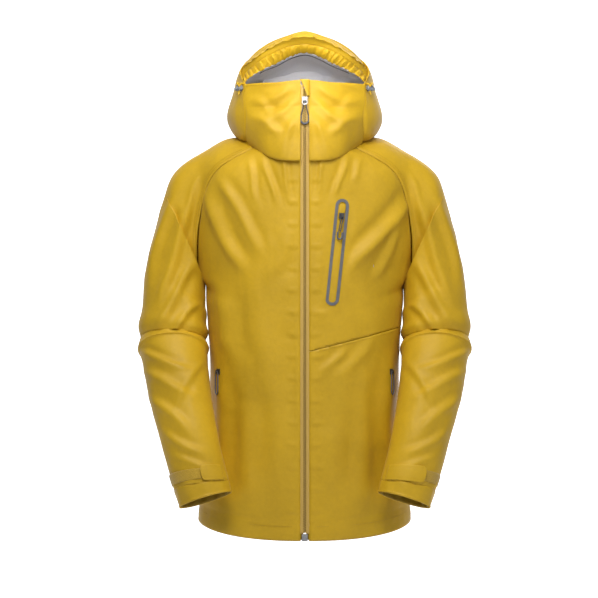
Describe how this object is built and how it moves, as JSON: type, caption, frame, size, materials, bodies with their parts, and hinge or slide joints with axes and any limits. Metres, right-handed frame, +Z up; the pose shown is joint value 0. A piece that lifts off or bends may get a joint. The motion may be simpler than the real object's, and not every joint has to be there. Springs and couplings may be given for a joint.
{
  "type": "hooded shell jacket",
  "caption": "Hooded waterproof shell jacket hanging closed, with full front zip, chest and hand pockets, raglan sleeves, tab cuffs and a peaked hood.",
  "frame": {"origin": "middle of the hanger loop inside the back of the neck, where a hook bears", "axes": "+Z up along the hanging jacket, -Y to the wearer's front, +X to the wearer's left"},
  "size_m": [0.59, 0.3229, 0.9005],
  "materials": {
    "shell_cloth": "smooth coated woven shell cloth, mustard",
    "zip_tape": "woven zip tape with coil, tan",
    "lining_cloth": "thin smooth lining cloth, light grey",
    "grey_film": "welded matt film frame, grey",
    "grip_plastic": "moulded soft plastic, grey",
    "lock_plastic": "moulded plastic, smoky grey",
    "dark_metal": "darkened metal slider",
    "metal_box": "bare metal zip box",
    "dark_cord": "braided cord, dark grey",
    "hook_tape": "hook and loop strip, dull mustard"
  },
  "bodies": {
    "shell": {"front_right": "shell_cloth", "front_left_upper": "shell_cloth", "front_left_lower": "shell_cloth", "back_panel": "shell_cloth", "shoulder_left": "shell_cloth", "shoulder_right": "shell_cloth", "chin_left": "shell_cloth", "chin_right": "shell_cloth", "hood_side_left": "shell_cloth", "hood_side_right": "shell_cloth", "hood_back": "shell_cloth", "hood_lining": "lining_cloth", "neck_lining": "lining_cloth", "hem_facing": "shell_cloth", "pocket_bag_left": "lining_cloth", "pocket_bag_right": "lining_cloth", "pocket_bag_chest": "lining_cloth", "zip_tape_left": "zip_tape", "zip_tape_right": "zip_tape", "zip_chain": "zip_tape", "zip_box": "metal_box", "storm_flap": "shell_cloth", "zip_garage": "shell_cloth", "chest_frame": "grey_film", "chest_zip": "zip_tape", "chest_garage": "shell_cloth", "hand_zip_left": "zip_tape", "hand_zip_right": "zip_tape", "cord_lock_left": "lock_plastic", "lock_cord_left": "shell_cloth", "cord_lock_right": "lock_plastic", "lock_cord_right": "shell_cloth", "hanger_loop": "shell_cloth"},
    "front_slider": {"front_slider": "dark_metal"},
    "front_pull": {"front_pull_cord": "dark_cord", "front_pull_grip": "grip_plastic"},
    "chest_slider": {"chest_slider": "dark_metal"},
    "chest_pull": {"chest_pull_cord": "dark_cord", "chest_pull_grip": "grip_plastic"},
    "peak": {"hood_brim": "shell_cloth", "brim_edge": "shell_cloth", "hood_face_band": "shell_cloth"},
    "hand_left_slider": {"hand_left_slider": "dark_metal"},
    "hand_left_pull": {"hand_left_pull": "grip_plastic"},
    "upper_arm_left": {"sleeve_left_upper": "shell_cloth"},
    "forearm_left": {"sleeve_left_lower": "shell_cloth", "cuff_left": "shell_cloth", "cuff_strip_left": "hook_tape"},
    "cuff_tab_left": {"cuff_tab_left": "shell_cloth"},
    "lock_button_left": {"lock_button_left": "lock_plastic"},
    "hand_right_slider": {"hand_right_slider": "dark_metal"},
    "hand_right_pull": {"hand_right_pull": "grip_plastic"},
    "upper_arm_right": {"sleeve_right_upper": "shell_cloth"},
    "forearm_right": {"sleeve_right_lower": "shell_cloth", "cuff_right": "shell_cloth", "cuff_strip_right": "hook_tape"},
    "cuff_tab_right": {"cuff_tab_right": "shell_cloth"},
    "lock_button_right": {"lock_button_right": "lock_plastic"}
  },
  "joints": [
    {"name": "front_zip_slide", "type": "slide", "parent": "shell", "child": "front_slider", "axis": [0, 0, -1], "range_m": [0, 0.735]},
    {"name": "front_pull_swing", "type": "hinge", "parent": "front_slider", "child": "front_pull", "pos_m": [0, -0.2051, 0.056], "axis": [-1, 0, 0], "range_deg": [0, 150]},
    {"name": "chest_zip_slide", "type": "slide", "parent": "shell", "child": "chest_slider", "axis": [-0.108, -0.0175, -0.994], "range_m": [0, 0.13]},
    {"name": "chest_pull_swing", "type": "hinge", "parent": "chest_slider", "child": "chest_pull", "pos_m": [0.06385, -0.2004, -0.14364], "axis": [-0.9734, -0.2012, 0.1093], "range_deg": [0, 150]},
    {"name": "hand_left_zip_slide", "type": "slide", "parent": "shell", "child": "hand_left_slider", "axis": [0, -0.0115, -0.9999], "range_m": [0, 0.1]},
    {"name": "hand_left_pull_swing", "type": "hinge", "parent": "hand_left_slider", "child": "hand_left_pull", "pos_m": [0.15443, -0.14049, -0.41397], "axis": [-0.5491, -0.8357, 0.0096], "range_deg": [0, 8]},
    {"name": "shoulder_left_lift", "type": "hinge", "parent": "shell", "child": "upper_arm_left", "pos_m": [0.243, -0.0607, -0.066], "axis": [0, -1, 0], "range_deg": [0, 35]},
    {"name": "elbow_left_bend", "type": "hinge", "parent": "upper_arm_left", "child": "forearm_left", "pos_m": [0.233, -0.1615, -0.364], "axis": [-1, 0, 0], "range_deg": [0, 60]},
    {"name": "cuff_tab_left_open", "type": "hinge", "parent": "forearm_left", "child": "cuff_tab_left", "pos_m": [0.14142, -0.22922, -0.5776], "axis": [-0.2886, -0.2283, -0.9298], "range_deg": [0, 100]},
    {"name": "lock_button_left_press", "type": "slide", "parent": "shell", "child": "lock_button_left", "axis": [-0.8632, -0.4818, 0.1506], "range_m": [0, 0.0025], "stiffness_N_per_m": 400, "springref_m": -0.0015},
    {"name": "hand_right_zip_slide", "type": "slide", "parent": "shell", "child": "hand_right_slider", "axis": [0, -0.0115, -0.9999], "range_m": [0, 0.1]},
    {"name": "hand_right_pull_swing", "type": "hinge", "parent": "hand_right_slider", "child": "hand_right_pull", "pos_m": [-0.15443, -0.14049, -0.41397], "axis": [-0.5491, 0.8357, -0.0096], "range_deg": [0, 8]},
    {"name": "shoulder_right_lift", "type": "hinge", "parent": "shell", "child": "upper_arm_right", "pos_m": [-0.243, -0.0607, -0.066], "axis": [0, 1, 0], "range_deg": [0, 35]},
    {"name": "elbow_right_bend", "type": "hinge", "parent": "upper_arm_right", "child": "forearm_right", "pos_m": [-0.233, -0.1615, -0.364], "axis": [-1, 0, 0], "range_deg": [0, 60]},
    {"name": "cuff_tab_right_open", "type": "hinge", "parent": "forearm_right", "child": "cuff_tab_right", "pos_m": [-0.14142, -0.22922, -0.5776], "axis": [-0.2886, 0.2283, 0.9298], "range_deg": [0, 100]},
    {"name": "lock_button_right_press", "type": "slide", "parent": "shell", "child": "lock_button_right", "axis": [0.8632, -0.4818, 0.1506], "range_m": [0, 0.0025], "stiffness_N_per_m": 400, "springref_m": -0.0015},
    {"name": "peak_tilt", "type": "hinge", "parent": "shell", "child": "peak", "pos_m": [0, -0.1307, 0.088], "axis": [1, 0, 0], "range_deg": [0, 18]}
  ]
}
